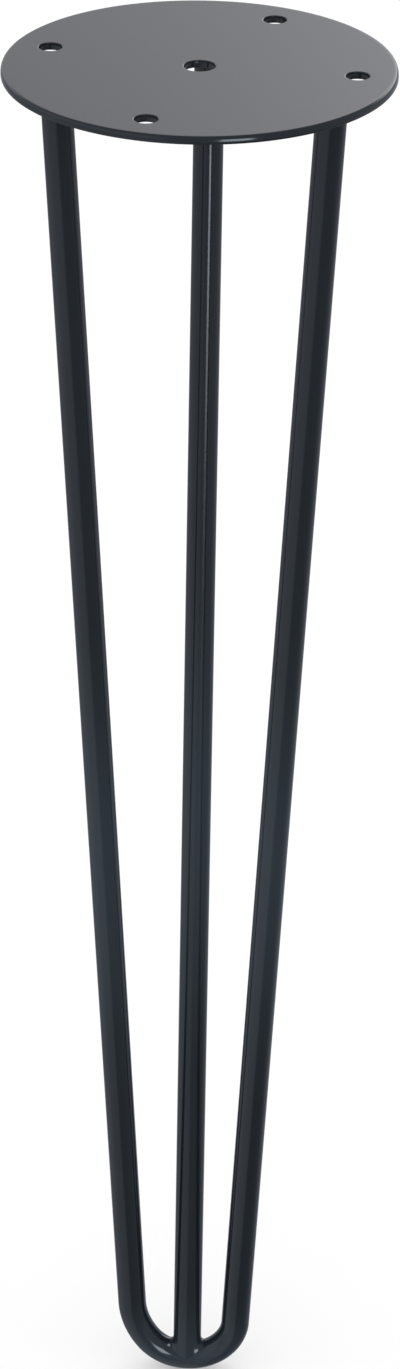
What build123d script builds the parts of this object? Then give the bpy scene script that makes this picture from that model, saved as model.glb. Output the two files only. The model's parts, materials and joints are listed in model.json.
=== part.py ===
from build123d import *
import os
from math import acos, atan2, cos, hypot, radians, sin, sqrt

# Three-rod hairpin table leg, in millimetres, +Z up.
# The origin is the middle of the plate's top face, and the leg hangs below it.
# The bent rod's first leg stands on -X, which is also the axis of the screw pattern.

# Whole leg
leg_height = 400.0             # top face of the plate to the lowest point of the foot
first_leg_angle = 180.0        # where the bent rod's first leg stands, measured from +X
rod_step_angle = 120.0         # from the first leg to the second one, and the other way to the third rod

# Mounting plate
plate_diameter = 100.0
plate_thickness = 2.0
upper_rim_radius = 0.5         # rolled-over top edge of the blanked rim
lower_rim_chamfer = 0.2        # eased bottom edge of the rim
centre_hole_diameter = 8.0
screw_hole_diameter = 6.0
hole_chamfer = 0.25            # eased mouths of all the holes, top and bottom
largest_ease = 0.45            # share of the plate's thickness that one eased edge may take up
screw_inset = 10.0             # plate rim to the middle of a screw hole
near_screw_angle = 45.0        # first leg to the screw hole on either side of it
far_screw_angle = 35.0         # the point opposite the first leg to the screw hole on either side of it

# Rods
rod_diameter = 8.0
rod_inset = 10.5               # plate rim to the middle of a rod's end
bend_inside_radius = 10.0      # inside of the hairpin's bend, round its lowest point and up to the second leg
wide_bend_inside_radius = 20.0  # inside of the wider bend that runs on into the first leg
wide_bend_angle = 53.0         # from the lowest point of the bend to where the wider one takes over
cope_tip = 0.6                 # the third rod's coped end stops this far short of the bend's centre line

# Welds
plate_weld_leg = 2.6           # reach of a plate weld, along the plate and along the rod
plate_weld_lip = 0.2           # thickness of a plate weld where it runs out on the rod
foot_weld_throat = 1.1         # crease of the foot joint to the face of its weld
foot_weld_tuck = 0.4           # a foot weld turns this much tighter than the rod that it runs round

rod_radius = rod_diameter / 2
bend_radius = bend_inside_radius + rod_radius
wide_bend_radius = wide_bend_inside_radius + rod_radius
largest_edge = largest_ease * plate_thickness
underside = Plane.XY.offset(-plate_thickness)


def on_plate(inset, angle, z):
    radius = plate_diameter / 2 - inset
    return Vector(radius * cos(radians(angle)), radius * sin(radians(angle)), z)


# Centre points of the rods, on the plate's underside and at the lowest point of the bend
left_top = on_plate(rod_inset, first_leg_angle, -plate_thickness)
right_top = on_plate(rod_inset, first_leg_angle + rod_step_angle, -plate_thickness)
third_top = on_plate(rod_inset, first_leg_angle - rod_step_angle, -plate_thickness)
apex = Vector(0, 0, rod_radius - leg_height)

# The hairpin lies in one plane, through the tops of its two legs and the apex
hairpin_middle = (left_top + right_top) * 0.5
across = (right_top - left_top).normalized()
down = (apex - hairpin_middle).normalized()
third_up = (third_top - apex).normalized()


def leg_foot(top, centre, radius, side):
    # Where a straight leg runs into a bend: the tangent from the leg's top to the bend's circle
    aside = (top - centre).dot(side)
    rise = (centre - top).dot(down)
    turn = atan2(aside, rise) + acos(radius / hypot(aside, rise))
    return centre + side * (radius * sin(turn)) - down * (radius * cos(turn))


# The two bends share the radius through the point where one takes over from the other
to_wide_bend = down * cos(radians(wide_bend_angle)) - across * sin(radians(wide_bend_angle))
bend_centre = apex - down * bend_radius
wide_bend_end = bend_centre + to_wide_bend * bend_radius
wide_bend_centre = wide_bend_end - to_wide_bend * wide_bend_radius
left_foot = leg_foot(left_top, wide_bend_centre, wide_bend_radius, -across)
right_foot = leg_foot(right_top, bend_centre, bend_radius, across)


def mounting_plate():
    from_top = (Align.CENTER, Align.CENTER, Align.MAX)
    plate = Cylinder(plate_diameter / 2, plate_thickness, align=from_top)
    upper_rim = plate.edges().filter_by(GeomType.CIRCLE).sort_by(Axis.Z)[-1]
    plate = fillet(upper_rim, min(upper_rim_radius, largest_edge))
    lower_rim = plate.edges().filter_by(GeomType.CIRCLE).sort_by(Axis.Z)[0]
    plate = chamfer(lower_rim, min(lower_rim_chamfer, largest_edge))

    plate -= Cylinder(centre_hole_diameter / 2, plate_thickness, align=from_top)
    opposite_angle = first_leg_angle + 180
    for pair_angle, offset in ((first_leg_angle, near_screw_angle), (opposite_angle, far_screw_angle)):
        for angle in (pair_angle - offset, pair_angle + offset):
            hole = Cylinder(screw_hole_diameter / 2, plate_thickness, align=from_top)
            plate -= Pos(on_plate(screw_inset, angle, 0)) * hole

    widest_hole = max(centre_hole_diameter, screw_hole_diameter) / 2
    mouths = plate.edges().filter_by(GeomType.CIRCLE).filter_by(lambda edge: edge.radius <= widest_hole)
    return chamfer(mouths, min(hole_chamfer, largest_edge))


def trimmed_under_plate(rod):
    # A leaning rod is made too long and trimmed to the plate's underside
    return split(rod, bisect_by=underside, keep=Keep.BOTTOM)


def hairpin_rod():
    left_end = left_top + (left_top - left_foot).normalized() * rod_diameter
    right_end = right_top + (right_top - right_foot).normalized() * rod_diameter
    wide_bend = TangentArc(left_foot, wide_bend_end, tangent=left_foot - left_end)
    bend = ThreePointArc(wide_bend_end, apex, right_foot)
    path = Line(left_end, left_foot) + wide_bend + bend + Line(right_foot, right_end)
    section = Plane(origin=left_end, z_dir=left_foot - left_end) * Circle(rod_radius)
    return trimmed_under_plate(sweep(section, path=path))


def third_rod(hairpin):
    start = apex + third_up * cope_tip
    length = (third_top - start).length + rod_diameter
    rod = extrude(Plane(origin=start, z_dir=third_up) * Circle(rod_radius), amount=length)
    return trimmed_under_plate(rod) - hairpin


def plate_weld(top, foot, rod):
    # A 45 degree cone round the leaning rod, from the plate's underside to a thin lip on the rod
    along = (foot - top).normalized()
    toe_radius = rod_radius + plate_weld_leg
    lip_radius = rod_radius + plate_weld_lip
    wide_end = top - along * toe_radius
    from_wide_end = (Align.CENTER, Align.CENTER, Align.MIN)
    cone = Cone(2 * toe_radius, lip_radius, 2 * toe_radius - lip_radius, align=from_wide_end)
    return trimmed_under_plate(Plane(origin=wide_end, z_dir=along) * cone) - rod


def foot_weld(hairpin, third):
    # One fillet weld on each side of the third rod: a thick disc laid in the plane of the crease between the
    # two rods, whose rim fills the corner of the joint and dips into both rods towards the front and back
    corner_height = bend_radius - sqrt(bend_inside_radius**2 - rod_radius**2)
    crease_reach = hypot(rod_radius, corner_height)
    disc_radius = rod_radius - foot_weld_tuck
    welds = []
    for side in (across, -across):
        outward = (side * rod_radius + third_up * corner_height).normalized()
        middle = apex + outward * (crease_reach + foot_weld_throat - disc_radius)
        crease = Plane(origin=middle, x_dir=outward, z_dir=outward.cross(side.cross(third_up)))
        disc = crease * Cylinder(disc_radius, rod_radius)
        welds.append((disc - hairpin - third).solid())
    return Compound(welds)


hairpin = hairpin_rod()
third = third_rod(hairpin)

nodes = {
    "mounting_plate": mounting_plate(),
    "hairpin_rod": hairpin,
    "third_rod": third,
    "left_rod_weld": plate_weld(left_top, left_foot, hairpin),
    "right_rod_weld": plate_weld(right_top, right_foot, hairpin),
    "third_rod_weld": plate_weld(third_top, apex, third),
    "foot_weld": foot_weld(hairpin, third),
}

os.makedirs("parts", exist_ok=True)
for name, shape in nodes.items():
    export_step(shape, f"parts/{name}.step")
    print(f"{name}: {shape.volume:.1f} mm3")
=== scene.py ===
import json
import math

import bmesh
import bpy
from mathutils import Matrix, Vector
from mathutils.bvhtree import BVHTree


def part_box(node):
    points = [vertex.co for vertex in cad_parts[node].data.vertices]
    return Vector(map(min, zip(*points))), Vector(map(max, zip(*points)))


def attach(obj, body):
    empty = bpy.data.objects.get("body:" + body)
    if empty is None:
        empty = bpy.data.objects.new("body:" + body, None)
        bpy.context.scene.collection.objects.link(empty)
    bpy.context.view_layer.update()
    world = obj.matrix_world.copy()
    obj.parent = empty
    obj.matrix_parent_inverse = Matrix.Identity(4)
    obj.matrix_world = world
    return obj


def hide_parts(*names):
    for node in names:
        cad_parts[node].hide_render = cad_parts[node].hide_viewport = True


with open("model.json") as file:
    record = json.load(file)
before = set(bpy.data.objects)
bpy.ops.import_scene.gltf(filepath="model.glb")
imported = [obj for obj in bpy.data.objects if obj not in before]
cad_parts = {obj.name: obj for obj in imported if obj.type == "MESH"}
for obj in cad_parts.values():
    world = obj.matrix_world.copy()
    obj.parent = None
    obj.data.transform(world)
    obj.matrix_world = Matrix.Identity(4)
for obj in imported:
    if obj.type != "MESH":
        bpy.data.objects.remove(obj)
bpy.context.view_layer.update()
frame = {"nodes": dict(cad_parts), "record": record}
print("frame loaded:", ", ".join(sorted(frame["nodes"])))


class Wire:
    # One output socket in a node tree. Arithmetic on it adds Math nodes, and add() makes any other node.
    def __init__(self, tree, socket=None):
        self.tree = tree
        self.socket = socket

    def add(self, kind, settings=None, inputs=None, output=0):
        node = self.tree.nodes.new(kind)
        for name, value in (settings or {}).items():
            setattr(node, name, value)
        for name, value in (inputs or {}).items():
            if isinstance(value, Wire):
                self.tree.links.new(value.socket, node.inputs[name])
            else:
                node.inputs[name].default_value = value
        return Wire(self.tree, node.outputs[output] if len(node.outputs) else None)

    def maths(self, operation, first, second):
        return self.add("ShaderNodeMath", {"operation": operation}, {0: first, 1: second})

    def __add__(self, other):
        return self.maths("ADD", self, other)

    def __radd__(self, other):
        return self.maths("ADD", other, self)

    def __sub__(self, other):
        return self.maths("SUBTRACT", self, other)

    def __rsub__(self, other):
        return self.maths("SUBTRACT", other, self)

    def __mul__(self, other):
        return self.maths("MULTIPLY", self, other)

    def __rmul__(self, other):
        return self.maths("MULTIPLY", other, self)


def emptyTree(owner):
    # The node tree of a material or a world, cleared for wiring
    owner.use_nodes = True
    owner.node_tree.nodes.clear()
    return Wire(owner.node_tree)


def mixColours(start, first, second, factor):
    return start.add("ShaderNodeMix", {"data_type": "RGBA"}, {
        "Factor": factor, "A": first, "B": second}, output="Result")


# Powder coat, the one finish of the leg

coatLook = {
    "darkTone": (0.0083, 0.0120, 0.0160, 1.0),
    "paleTone": (0.0101, 0.0144, 0.0190, 1.0),
    "roughness": 0.12,
    "roughSpread": 0.04,
    "peelDepth": 0.000005,
    "grainDepth": 0.0000006,
    "ior": 1.5,
    # scale per metre and detail of each layer of noise
    "toneNoise": (55.0, 2.0),        # slow drift of the colour
    "roughNoise": (260.0, 3.0),
    "peelNoise": (900.0, 1.0),       # orange peel, about a millimetre from bump to bump
    "grainNoise": (4200.0, 0.0),     # fine powder grain
    "noiseMean": 0.5,
}


def powderCoat(name, look):
    material = bpy.data.materials.new(name)
    start = emptyTree(material)
    place = start.add("ShaderNodeTexCoord", output="Object")

    def noise(layer):
        scale, detail = look[layer]
        return start.add("ShaderNodeTexNoise", {}, {"Vector": place, "Scale": scale, "Detail": detail})

    tone = mixColours(start, look["darkTone"], look["paleTone"], noise("toneNoise"))
    rough = look["roughness"] + look["roughSpread"] * (noise("roughNoise") - look["noiseMean"])
    height = look["peelDepth"] * noise("peelNoise") + look["grainDepth"] * noise("grainNoise")
    bump = start.add("ShaderNodeBump", {}, {"Strength": 1.0, "Distance": 1.0, "Height": height})
    shader = start.add("ShaderNodeBsdfPrincipled", {}, {
        "Base Color": tone, "Roughness": rough, "Normal": bump, "IOR": look["ior"]})
    start.add("ShaderNodeOutputMaterial", {}, {"Surface": shader})
    return material


coat = powderCoat("blackPowderCoat", coatLook)
print("finish made:", coat.name)


# Where the rods run, worked out from the frame

rodPlan = {
    "radius": 0.004,
    "circle": 0.0395,            # plate's middle to the middle of a rod's end
    "leftAngle": 180.0,
    "rightAngle": 300.0,
    "thirdAngle": 60.0,
    "bendRadius": 0.014,         # to the rod's centre line
    "wideRadius": 0.024,         # of the wider bend that runs on into the left leg
    "wideAngle": 53.0,           # where it takes over, from the lowest point
    "sides": 96,
    "stepDegrees": 2.5,          # along a bend
    "overrun": 0.006,            # made this much too long, then cut at the plate
    "copeStart": 0.008,          # the third rod is begun this far above the apex, clear of the bend
    "copeShare": 0.985,          # the coped end is found by rays just inside the rod's wall
}

plateLow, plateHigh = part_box("mounting_plate")
underside = plateLow.z
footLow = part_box("hairpin_rod")[0].z


def rodTop(angle):
    turn = math.radians(angle)
    return Vector((rodPlan["circle"] * math.cos(turn), rodPlan["circle"] * math.sin(turn), underside))


leftTop = rodTop(rodPlan["leftAngle"])
rightTop = rodTop(rodPlan["rightAngle"])
thirdTop = rodTop(rodPlan["thirdAngle"])
apex = Vector((0, 0, footLow + rodPlan["radius"]))
hairpinMiddle = (leftTop + rightTop) / 2
across = (rightTop - leftTop).normalized()
down = (apex - hairpinMiddle).normalized()
thirdUp = (thirdTop - apex).normalized()
thirdBack = thirdUp.cross(across)
wideAngle = math.radians(rodPlan["wideAngle"])
wideSide = down * math.cos(wideAngle) - across * math.sin(wideAngle)
bendCentre = apex - down * rodPlan["bendRadius"]
wideCentre = bendCentre - wideSide * (rodPlan["wideRadius"] - rodPlan["bendRadius"])


def legFoot(top, centre, radius, side):
    # A leg touches its bend's circle where the radius stands square to the leg
    # The turn there is measured from straight up, towards the leg's own side
    out, rise = (top - centre).dot(side), (centre - top).dot(down)
    turn = math.atan2(out, rise) + math.acos(radius / math.hypot(out, rise))
    return centre + side * (radius * math.sin(turn)) - down * (radius * math.cos(turn)), turn


leftFoot, leftTurn = legFoot(leftTop, wideCentre, rodPlan["wideRadius"], -across)
rightFoot, rightTurn = legFoot(rightTop, bendCentre, rodPlan["bendRadius"], across)


# Steps that several pieces share

def facing(point, direction):
    # A place at the point, turned so that its z axis runs in the direction
    return Matrix.Translation(point) @ direction.to_track_quat("Z", "Y").to_matrix().to_4x4()


def viewDirection(azimuth, elevation=0.0):
    # From the leg towards a viewer at that azimuth and elevation
    turn, tilt = math.radians(azimuth), math.radians(elevation)
    return Vector((math.sin(turn) * math.cos(tilt), -math.cos(turn) * math.cos(tilt), math.sin(tilt)))


def vertsIn(geom):
    return [g for g in geom if isinstance(g, bmesh.types.BMVert)]


def edgesOf(bm, verts):
    # The edges that run from one of these vertices to another
    found = set(verts)
    return [e for e in bm.edges if found.issuperset(e.verts)]


def openEdges(bm):
    return [e for e in bm.edges if e.is_boundary]


def runOn(bm, verts, move):
    ends = vertsIn(bmesh.ops.extrude_edge_only(bm, edges=edgesOf(bm, verts))["geom"])
    bmesh.ops.translate(bm, verts=ends, vec=move)
    return ends


def cutAtPlate(bm):
    everything = bm.verts[:] + bm.edges[:] + bm.faces[:]
    bmesh.ops.bisect_plane(bm, geom=everything, plane_co=(0, 0, underside), plane_no=(0, 0, 1),
                           clear_outer=True)


def finishMesh(bm, sharpDegrees=38.0):
    # Faces point outwards and look smooth, with a crease where two of them meet at the sharp angle or more
    bmesh.ops.recalc_face_normals(bm, faces=bm.faces[:])
    for face in bm.faces:
        face.smooth = True
    for edge in bm.edges:
        edge.smooth = not edge.is_manifold or edge.calc_face_angle() < math.radians(sharpDegrees)


def closeEnds(bm):
    bmesh.ops.holes_fill(bm, edges=openEdges(bm), sides=0)
    finishMesh(bm)


def meshObject(name, bm, material):
    mesh = bpy.data.meshes.new(name)
    bm.to_mesh(mesh)
    bm.free()
    mesh.materials.append(material)
    made = bpy.data.objects.new(name, mesh)
    bpy.context.scene.collection.objects.link(made)
    return made


def makePiece(name, bm, node):
    piece = meshObject(name, bm, coat)
    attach(piece, "root")
    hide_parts(node)
    print("made", name, "with", len(piece.data.polygons), "faces")


# The bent rod: down the left leg, round the bend, up the right leg

def makeHairpin():
    bm = bmesh.new()
    leftRun = leftFoot - leftTop
    rightRun = rightTop - rightFoot
    start = leftTop - leftRun.normalized() * rodPlan["overrun"]
    ring = bmesh.ops.create_circle(bm, segments=rodPlan["sides"], radius=rodPlan["radius"],
                                   matrix=facing(start, leftRun))["verts"]
    ring = runOn(bm, ring, leftFoot - start)
    wideTurn = math.pi - leftTurn - wideAngle
    bendTurn = wideAngle + math.pi - rightTurn
    for centre, angle in ((wideCentre, wideTurn), (bendCentre, bendTurn)):
        steps = math.ceil(math.degrees(angle) / rodPlan["stepDegrees"])
        bent = bmesh.ops.spin(bm, geom=ring + edgesOf(bm, ring), cent=centre, axis=down.cross(across),
                              angle=angle, steps=steps)["geom_last"]
        ring = vertsIn(bent)
    runOn(bm, ring, rightRun + rightRun.normalized() * rodPlan["overrun"])
    cutAtPlate(bm)
    closeEnds(bm)
    return bm


hairpinMesh = makeHairpin()
hairpinSkin = BVHTree.FromBMesh(hairpinMesh)
makePiece("hairpinRod", hairpinMesh, "hairpin_rod")


# The straight rod, coped to sit on the bend

def makeThirdRod():
    bm = bmesh.new()
    rise = rodPlan["copeStart"]
    start = apex + thirdUp * rise
    foot = bmesh.ops.create_circle(bm, segments=rodPlan["sides"], radius=rodPlan["radius"],
                                   matrix=facing(start, thirdUp))["verts"]
    # one more ring above the cope, so that only the short walls below it are uneven
    middle = runOn(bm, foot, thirdUp * rise)
    runOn(bm, middle, thirdTop - start - thirdUp * (rise - rodPlan["overrun"]))
    for vert in foot:
        origin = start + (vert.co - start) * rodPlan["copeShare"]
        hit = hairpinSkin.ray_cast(origin, -thirdUp)[0]
        vert.co -= thirdUp * (hit - origin).length
    cutAtPlate(bm)
    closeEnds(bm)
    return bm


makePiece("thirdRod", makeThirdRod(), "third_rod")


# The round plate: a rolled rim, eased holes, flat faces between them

plateCut = {
    # width and steps of both rounded edges; the upper one is drop times as deep as it is wide
    "rim": {"upper": (0.0007, 14), "lower": (0.0002, 4), "drop": 2.0, "sides": 288},
    "hole": {"upper": (0.00025, 4), "lower": (0.00025, 4), "drop": 1.0, "sides": 64},
    "slack": 1.001,              # takes in the last point of the upper edge in spite of rounding
}


def edgeBand(bm, centre, radius, outward, cut):
    # The plate's wall round one circle: a profile with two rounded corners, spun about the circle's middle
    # outward is 1 where the plate lies inside the circle, and -1 where it lies outside
    before = set(bm.verts)
    upper, lower = cut["upper"][0], cut["lower"][0]
    inner = radius - 2 * outward * max(upper, lower)
    outline = ((inner, plateHigh.z), (radius, plateHigh.z), (radius, underside), (inner, underside))
    corners = [bm.verts.new(centre + Vector((x, 0, z))) for x, z in outline]
    for first, second in zip(corners, corners[1:]):
        bm.edges.new((first, second))
    for corner, (width, steps) in zip(corners[1:3], (cut["upper"], cut["lower"])):
        bmesh.ops.bevel(bm, geom=[corner], offset=width, affect="VERTICES", segments=steps, profile=0.5,
                        material=-1)
    profile = [v for v in bm.verts if v not in before]
    for vert in profile:
        depth = plateHigh.z - vert.co.z
        if depth < upper * plateCut["slack"]:
            vert.co.z = plateHigh.z - depth * cut["drop"]
    bmesh.ops.spin(bm, geom=profile + edgesOf(bm, profile), cent=centre, axis=(0, 0, 1), angle=2 * math.pi,
                   steps=cut["sides"], use_merge=True)


def plateHoles():
    # Middle and radius of every hole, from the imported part's mounts, whose dims are in millimetres
    perMetre = 1000
    holes = []
    for mount in frame["record"]["mounts"]:
        x, y = mount["pos_m"][:2]
        if mount["kind"] == "bore":
            holes.append((Vector((x, y, 0)), mount["dims"]["r_mm"] / perMetre))
        if mount["kind"] == "bolt_pattern":
            reach = mount["dims"]["spacing_y_mm"] / perMetre / 2
            for side in (-reach, reach):
                holes.append((Vector((x, y + side, 0)), mount["dims"]["hole_r_mm"] / perMetre))
    return holes


def makePlate():
    bm = bmesh.new()
    edgeBand(bm, Vector(), plateHigh.x, 1, plateCut["rim"])
    for centre, radius in plateHoles():
        edgeBand(bm, centre, radius, -1, plateCut["hole"])
    middle = (plateHigh.z + underside) / 2
    for upper in (True, False):
        edges = [e for e in openEdges(bm) if (e.verts[0].co.z > middle) == upper]
        bmesh.ops.triangle_fill(bm, edges=edges, use_beauty=True, normal=(0, 0, 1 if upper else -1))
    finishMesh(bm)
    return bm


makePiece("mountingPlate", makePlate(), "mounting_plate")


# Weld beads: a rippled ring under the plate round each rod

ringWeld = {
    "leg": 0.0026,               # reach along the plate and along the rod
    "bulge": 0.00035,            # how far its face stands out
    "overrun": 1.3,              # the face is made this many times as long, then cut at the plate
    "arcSteps": 12,
    "ripples": 27,
    "stepsPerRipple": 8,
    "rippleDepth": 0.00013,
    "crescent": 0.45,            # how far the middle of a ripple runs ahead of its ends
    "wander": 0.05,              # slow swell of the bead, as a share of its reach
    "waves": (2, 5),             # of that swell, round the rod
    "leftSeed": 0.4,             # where the swell starts on each rod
    "rightSeed": 2.1,
    "thirdSeed": 4.0,
    "bury": 0.0005,              # how deep it reaches into the rod
    "sharp": 60.0,               # degrees from which an edge shows as a crease
}


def rippleHeight(turns, share):
    # One weld ripple per turn, bowed forward in the middle of the bead; share runs from 0 to 1 over it
    phase = turns + ringWeld["crescent"] * (1 - (2 * share - 1) ** 2)
    wave = 2 * (phase - math.floor(phase)) - 1
    return 1 - wave * wave


def makeRingWeld(top, foot, seed):
    along = (foot - top).normalized()
    side = along.orthogonal().normalized()
    other = along.cross(side)
    radius = rodPlan["radius"]
    leg = ringWeld["leg"]
    # the face is an arc from the rod to the plate
    # its middle is given by how far it lies out from the rod's axis and how far down along the rod
    chord = leg * math.sqrt(2)
    arcRadius = (chord * chord / 4 + ringWeld["bulge"] ** 2) / (2 * ringWeld["bulge"])
    arcHalf = math.asin(chord / 2 / arcRadius)
    inward = (arcRadius - ringWeld["bulge"]) / math.sqrt(2)
    arcMiddle = Vector((radius + leg / 2 - inward, leg / 2 - inward))

    def spot(out, depth):
        return top + side * out + along * depth

    bm = bmesh.new()
    lip = bm.verts.new(spot(radius, leg))
    arc = bmesh.ops.spin(bm, geom=[lip], cent=spot(*arcMiddle), axis=other,
                         angle=ringWeld["overrun"] * 2 * arcHalf, steps=ringWeld["arcSteps"])["geom_last"]
    toe = vertsIn(arc)[0]
    innerLow = bm.verts.new(spot(radius - ringWeld["bury"], leg))
    innerHigh = bm.verts.new(spot(radius - ringWeld["bury"], (toe.co - top).dot(along)))
    for first, second in ((lip, innerLow), (innerLow, innerHigh), (innerHigh, toe)):
        bm.edges.new((first, second))
    profile = bm.verts[:] + bm.edges[:]
    bmesh.ops.spin(bm, geom=profile, cent=top, axis=along, angle=2 * math.pi,
                   steps=ringWeld["ripples"] * ringWeld["stepsPerRipple"], use_merge=True)
    for vert in bm.verts:
        offset = vert.co - top
        depth = offset.dot(along)
        outward = offset - along * depth
        fromMiddle = Vector((outward.length, depth)) - arcMiddle
        turn = math.atan2(outward.dot(other), outward.dot(side))
        # share runs from 0 to 1 over the face, and its middle faces out at 45 degrees
        share = 0.5 + (math.atan2(fromMiddle.x, fromMiddle.y) - math.pi / 4) / (2 * arcHalf)
        if outward.length > radius and 0 < share < 1:
            swell = sum(math.sin(waves * turn + number * seed)
                        for number, waves in enumerate(ringWeld["waves"], 1))
            ripple = rippleHeight(ringWeld["ripples"] * turn / (2 * math.pi), share)
            lift = ringWeld["rippleDepth"] * ripple + ringWeld["wander"] * leg * swell
            lift *= math.sin(math.pi * share)
            vert.co += (outward.normalized() * fromMiddle.x + along * fromMiddle.y).normalized() * lift
    cutAtPlate(bm)
    bmesh.ops.triangle_fill(bm, edges=openEdges(bm), use_beauty=True, normal=(0, 0, 1))
    finishMesh(bm, ringWeld["sharp"])
    return bm


makePiece("leftRodWeld", makeRingWeld(leftTop, leftFoot, ringWeld["leftSeed"]), "left_rod_weld")
makePiece("rightRodWeld", makeRingWeld(rightTop, rightFoot, ringWeld["rightSeed"]), "right_rod_weld")
makePiece("thirdRodWeld", makeRingWeld(thirdTop, apex, ringWeld["thirdSeed"]), "third_rod_weld")


# Weld round the third rod's foot: a skin that fills the crease between the two rods

footWeld = {
    "sides": 192,
    "sideReach": 0.0020,         # up the third rod and along the bend, at the sides of the joint
    "frontReach": 0.0050,        # the same at the front, where the two rods' walls run together
    "rearReach": 0.0030,
    "rearBulge": 0.0005,         # how far it swells at the back, over the tip of the third rod
    "widening": 0.7,             # below 1 it widens sooner on the way to the front and the back
    "arcSteps": 24,
    "sink": 0.00002,             # its edges lie this deep in the rods
    "bury": 0.0006,              # and its inner edge this deep
    "rayStart": 0.012,           # the crease is found by rays from this far above the apex
    "ringStep": 0.0001,          # its rings are made this far apart, before their points are placed
    "sharp": 60.0,               # degrees from which an edge shows as a crease
    # the blunt start of the bead
    "startPlace": (-108, 0.90),  # degrees round the third rod from its back, share of the way out
    "startFacing": (-14, 17),    # azimuth and elevation
    "startRadius": 0.00065,
    "startRound": 0.00025,
    "startSides": 32,
    "startSteps": 6,
    "startDepth": 0.0011,
    "startLift": 0.0002,         # how far it stands out of the skin
}

rayTop = apex + thirdUp * footWeld["rayStart"]


def footWeldSpot(outward, share):
    # One point of the weld by its side of the third rod; share runs from 0 on that rod to 1 on the bend
    radius = rodPlan["radius"]
    origin = rayTop + outward * (radius * rodPlan["copeShare"])
    crease, normal = hairpinSkin.ray_cast(origin, -thirdUp)[:2]
    if share < 0:
        return crease - outward * footWeld["bury"] - normal * footWeld["bury"] / 2
    # endOn is 1 at the front and the back of the joint and 0 at its sides
    endOn = outward.cross(across).length_squared ** footWeld["widening"]
    rear = outward.dot(thirdBack)
    longest = footWeld["rearReach" if rear > 0 else "frontReach"]
    reach = footWeld["sideReach"] + (longest - footWeld["sideReach"]) * endOn
    # away runs along the bend's skin, out from the joint
    away = outward - thirdUp
    away = (away - normal * away.dot(normal)).normalized()
    landing, landingNormal = hairpinSkin.find_nearest(crease + away * reach)[:2]
    low = landing - landingNormal * footWeld["sink"]
    corner = crease + outward * (radius * (1 - rodPlan["copeShare"]) - footWeld["sink"])
    high = corner + thirdUp * reach
    swell = footWeld["rearBulge"] * (max(rear, 0.0) * math.sin(math.pi * share)) ** 2
    hollow = high * (1 - share) ** 2 + corner * (2 * share * (1 - share)) + low * share ** 2
    return hollow + outward * swell


def addBeadStart(bm):
    # A rounded stub, most of it sunk in the skin
    degrees, share = footWeld["startPlace"]
    turn = math.radians(degrees)
    skin = footWeldSpot(across * math.sin(turn) + thirdBack * math.cos(turn), share)
    towards = viewDirection(*footWeld["startFacing"])
    radius, depth = footWeld["startRadius"], footWeld["startDepth"]
    middle = skin + towards * (footWeld["startLift"] - depth / 2)
    stub = bmesh.ops.create_cone(bm, cap_ends=True, segments=footWeld["startSides"], radius1=radius,
                                 radius2=radius, depth=depth, matrix=facing(middle, towards))["verts"]
    face = [v for v in stub if (v.co - middle).dot(towards) > 0]
    back = [v for v in stub if v not in face]
    bmesh.ops.bevel(bm, geom=edgesOf(bm, face) + edgesOf(bm, back), offset=footWeld["startRound"],
                    affect="EDGES", segments=footWeld["startSteps"], profile=0.5, material=-1)


def makeFootWeld():
    bm = bmesh.new()
    rings = [bmesh.ops.create_circle(bm, segments=footWeld["sides"], radius=rodPlan["radius"],
                                     matrix=facing(rayTop, thirdUp))["verts"]]
    for _ in range(footWeld["arcSteps"] + 1):
        rings.append(runOn(bm, rings[-1], -thirdUp * footWeld["ringStep"]))
    for number, ring in enumerate(rings):
        for vert in ring:
            offset = vert.co - rayTop
            outward = (offset - thirdUp * offset.dot(thirdUp)).normalized()
            vert.co = footWeldSpot(outward, (number - 1) / footWeld["arcSteps"])
    bmesh.ops.bridge_loops(bm, edges=openEdges(bm))
    addBeadStart(bm)
    finishMesh(bm, footWeld["sharp"])
    return bm


makePiece("footWeld", makeFootWeld(), "foot_weld")


# Camera at the photograph's view

cameraFit = {
    "imageSize": (400, 1369),
    "platePixel": (199.68, 65.75),   # where the middle of the plate's top shows
    "azimuth": -26.228,
    "elevation": 27.731,
    "roll": 0.609,
    "distance": 1.1419,              # from the plate's middle, along the line of sight
    "lens": 119.69,
    "sensor": 36.0,                  # along the longer side of the picture
    "nearest": 0.05,
    "farthest": 50.0,
}


def makeCamera():
    width, height = cameraFit["imageSize"]
    plateX, plateY = cameraFit["platePixel"]
    back = viewDirection(cameraFit["azimuth"], cameraFit["elevation"])
    level = Vector((0, 0, 1)).cross(back).normalized()
    rise = back.cross(level)
    roll = math.radians(cameraFit["roll"])
    right = level * math.cos(roll) + rise * math.sin(roll)
    up = rise * math.cos(roll) - level * math.sin(roll)
    # the size of a pixel at the plate, in metres
    pixel = cameraFit["distance"] * cameraFit["sensor"] / (cameraFit["lens"] * height)
    shiftX = (plateX - width / 2) * pixel
    shiftY = (height / 2 - plateY) * pixel
    data = bpy.data.cameras.new("photoCamera")
    data.lens = cameraFit["lens"]
    data.sensor_width = cameraFit["sensor"]
    data.clip_start = cameraFit["nearest"]
    data.clip_end = cameraFit["farthest"]
    camera = bpy.data.objects.new("photoCamera", data)
    bpy.context.scene.collection.objects.link(camera)
    place = back * cameraFit["distance"] - right * shiftX - up * shiftY
    turned = Matrix((right, up, back)).transposed().to_4x4()
    camera.matrix_world = Matrix.Translation(place) @ turned
    bpy.context.scene.camera = camera


makeCamera()
print("camera placed")


# Floor, room and lamps

studio = {
    "floorRadius": 12.0,
    "floorSides": 96,
    "floorTone": 0.65,
    "floorLift": 0.31,           # added to what the camera sees of the floor, so that it reads as paper
    "fill": 1.05,                # light from all round
    "white": (1.0, 1.0, 1.0, 1.0),
}

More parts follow.
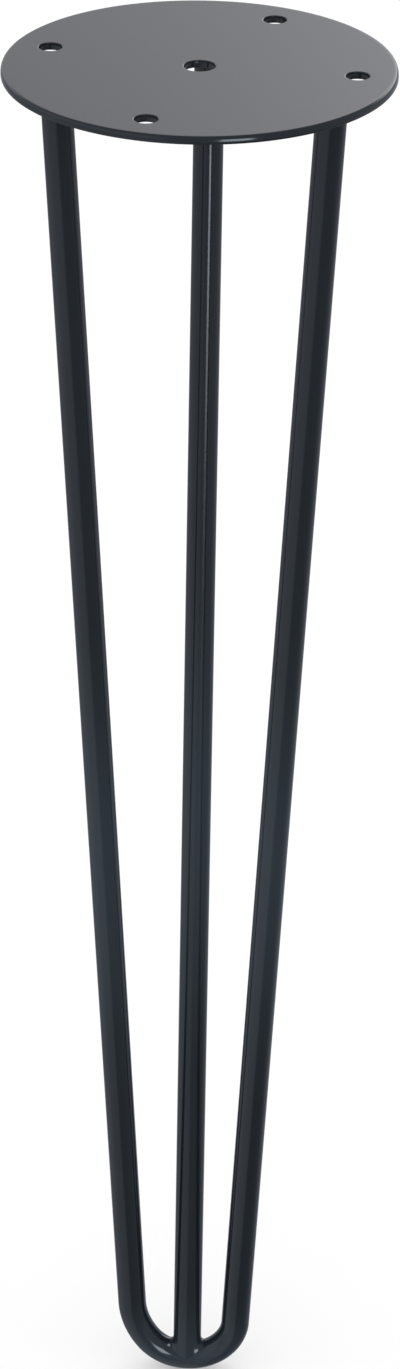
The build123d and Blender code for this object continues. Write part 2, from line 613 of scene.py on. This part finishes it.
# What gloss sees of the room, by direction: degrees to the right of the camera, degrees above level
room = {
    # heights over which one level runs into the next
    "storeys": ((-40, -36), (-25, -16), (-6, 4), (26, 44)),
    # levels of each wall, from the lowest storey up
    "behind": (0.33, 0.43, 0.45, 0.50, 0.40),
    "leftFar": (0.26, 0.30, 0.36, 0.50, 0.40),
    "leftWall": (0.52, 0.60, 0.54, 0.74, 0.40),
    "rightWall": (0.17, 0.24, 0.41, 0.38, 0.40),
    # where each wall takes over from the one to its left, and how far that line leans with height
    "walls": (("leftFar", -170, -135, 0), ("leftWall", -135, -85, 0), ("rightWall", -27, -5, 0.25),
              ("behind", 65, 125, 0)),
    "strip": (12, 30, -12.6, 10),    # a strip light: left, right, bottom, top
    "stripSoft": 1.5,
    "stripLevel": 5.8,
    # a pale backdrop behind the leg, paler to the right and towards both ends
    "backdrop": 1.07,
    "backdropSlope": 5.0,
    "backdropBow": 35.0,
    "backdropReach": 0.14,
    "backdropEdge": (-0.4, -0.8),    # cosine from the camera's side where it begins, and where it is whole
    "backdropHeights": (2, 8, 26, 36),
    "wallTint": (0.916, 1.0, 1.106, 1.0),
    "backdropTint": (1.0, 1.0, 1.05, 1.0),
}


def seenDirectly(start):
    camera = start.add("ShaderNodeLightPath", output="Is Camera Ray")
    return start.maths("MAXIMUM", camera, start.add("ShaderNodeLightPath", output="Is Transmission Ray"))


def palePaper():
    material = bpy.data.materials.new("palePaper")
    start = emptyTree(material)
    tone = studio["floorTone"]
    shader = start.add("ShaderNodeBsdfPrincipled", {}, {
        "Base Color": (tone, tone, tone, 1), "Roughness": 1.0, "Specular IOR Level": 0.0,
        "Emission Color": studio["white"], "Emission Strength": seenDirectly(start) * studio["floorLift"]})
    start.add("ShaderNodeOutputMaterial", {}, {"Surface": shader})
    return material


def makeFloor():
    bm = bmesh.new()
    bmesh.ops.create_circle(bm, cap_ends=True, segments=studio["floorSides"], radius=studio["floorRadius"],
                            matrix=Matrix.Translation((0, 0, footLow)))
    floor = meshObject("paleFloor", bm, palePaper())
    floor.visible_glossy = False     # the coat mirrors the room instead


def makeRoom():
    world = bpy.data.worlds.new("studioRoom")
    bpy.context.scene.world = world
    start = emptyTree(world)
    direction = start.add("ShaderNodeTexCoord", output="Generated")

    def along(vector):
        return start.add("ShaderNodeVectorMath", {"operation": "DOT_PRODUCT"}, {
            0: direction, 1: vector}, output="Value")

    def ramp(value, low, high, kind="SMOOTHSTEP"):
        return start.add("ShaderNodeMapRange", {"interpolation_type": kind}, {
            "Value": value, "From Min": low, "From Max": high})

    def between(value, low, high, soft):
        return ramp(value, low - soft, low + soft) * (1 - ramp(value, high - soft, high + soft))

    toCamera = viewDirection(cameraFit["azimuth"])
    towards = along(toCamera)
    aside = along(Vector((0, 0, 1)).cross(toCamera))
    degrees = 180 / math.pi
    around = start.maths("ARCTAN2", aside, towards) * degrees
    height = start.maths("ARCSINE", along((0, 0, 1)), 0) * degrees

    def byHeight(levels):
        level = levels[0]
        for value, (low, high) in zip(levels[1:], room["storeys"]):
            level = level + (value - level) * ramp(height, low, high)
        return level

    level = byHeight(room["behind"])
    for name, low, high, lean in room["walls"]:
        level = level + (byHeight(room[name]) - level) * ramp(around + height * lean, low, high)
    left, right, bottom, top = room["strip"]
    soft = room["stripSoft"]
    strip = between(around, left, right, soft) * between(height, bottom, top, soft)
    level = level + (room["stripLevel"] - level) * strip
    reach = room["backdropReach"]
    sideways = (ramp(aside, -reach, reach, "LINEAR") * 2 - 1) * reach
    slope = sideways * room["backdropSlope"] + sideways * sideways * room["backdropBow"]
    low, lowFull, highFull, high = room["backdropHeights"]
    backdrop = ramp(towards, *room["backdropEdge"]) * ramp(height, low, lowFull)
    backdrop = backdrop * (1 - ramp(height, highFull, high))
    level = level + (room["backdrop"] + slope - level) * backdrop
    tint = mixColours(start, room["wallTint"], room["backdropTint"], backdrop)

    # gloss sees the room, the camera sees white, and all else gets the even fill
    gloss = start.add("ShaderNodeLightPath", output="Is Glossy Ray")
    seen = seenDirectly(start)
    level = studio["fill"] + (level - studio["fill"]) * gloss
    level = level + (1 - level) * seen
    tint = mixColours(start, studio["white"], tint, gloss)
    light = start.add("ShaderNodeBackground", {}, {"Color": tint, "Strength": level})
    start.add("ShaderNodeOutputWorld", {}, {"Surface": light})


def makeLamp(name, target, azimuth, elevation, distance, size, spread, level):
    # An area lamp that faces the leg's axis at the target height
    # It is hidden from gloss, because the coat shows the room
    data = bpy.data.lights.new(name, "AREA")
    data.shape = "RECTANGLE"
    data.size, data.size_y = size
    data.spread = math.radians(spread)
    data.energy = level * math.pi * size[0] * size[1]
    lamp = bpy.data.objects.new(name, data)
    bpy.context.scene.collection.objects.link(lamp)
    away = viewDirection(azimuth, elevation)
    lamp.matrix_world = facing(Vector((0, 0, target)) + away * distance, away)
    lamp.visible_glossy = False


# level is the brightness of a lamp's face, and target the height that it faces
lamps = {
    "overheadSoftbox": {"target": 0.0, "azimuth": 150.0, "elevation": 72.0, "distance": 1.8,
                        "size": (1.0, 1.0), "spread": 180, "level": 1.0},
    "lowBeam": {"target": -0.225, "azimuth": -26.0, "elevation": 0.0, "distance": 0.6,
                "size": (0.3, 0.03), "spread": 14, "level": 3.0},
    "footBeam": {"target": -0.396, "azimuth": -26.0, "elevation": 0.0, "distance": 0.4,
                 "size": (0.2, 0.01), "spread": 6, "level": 2.4},
}

makeFloor()
makeRoom()
for name, lamp in lamps.items():
    makeLamp(name, **lamp)
bpy.context.scene.view_settings.view_transform = "Standard"
print("studio lit")
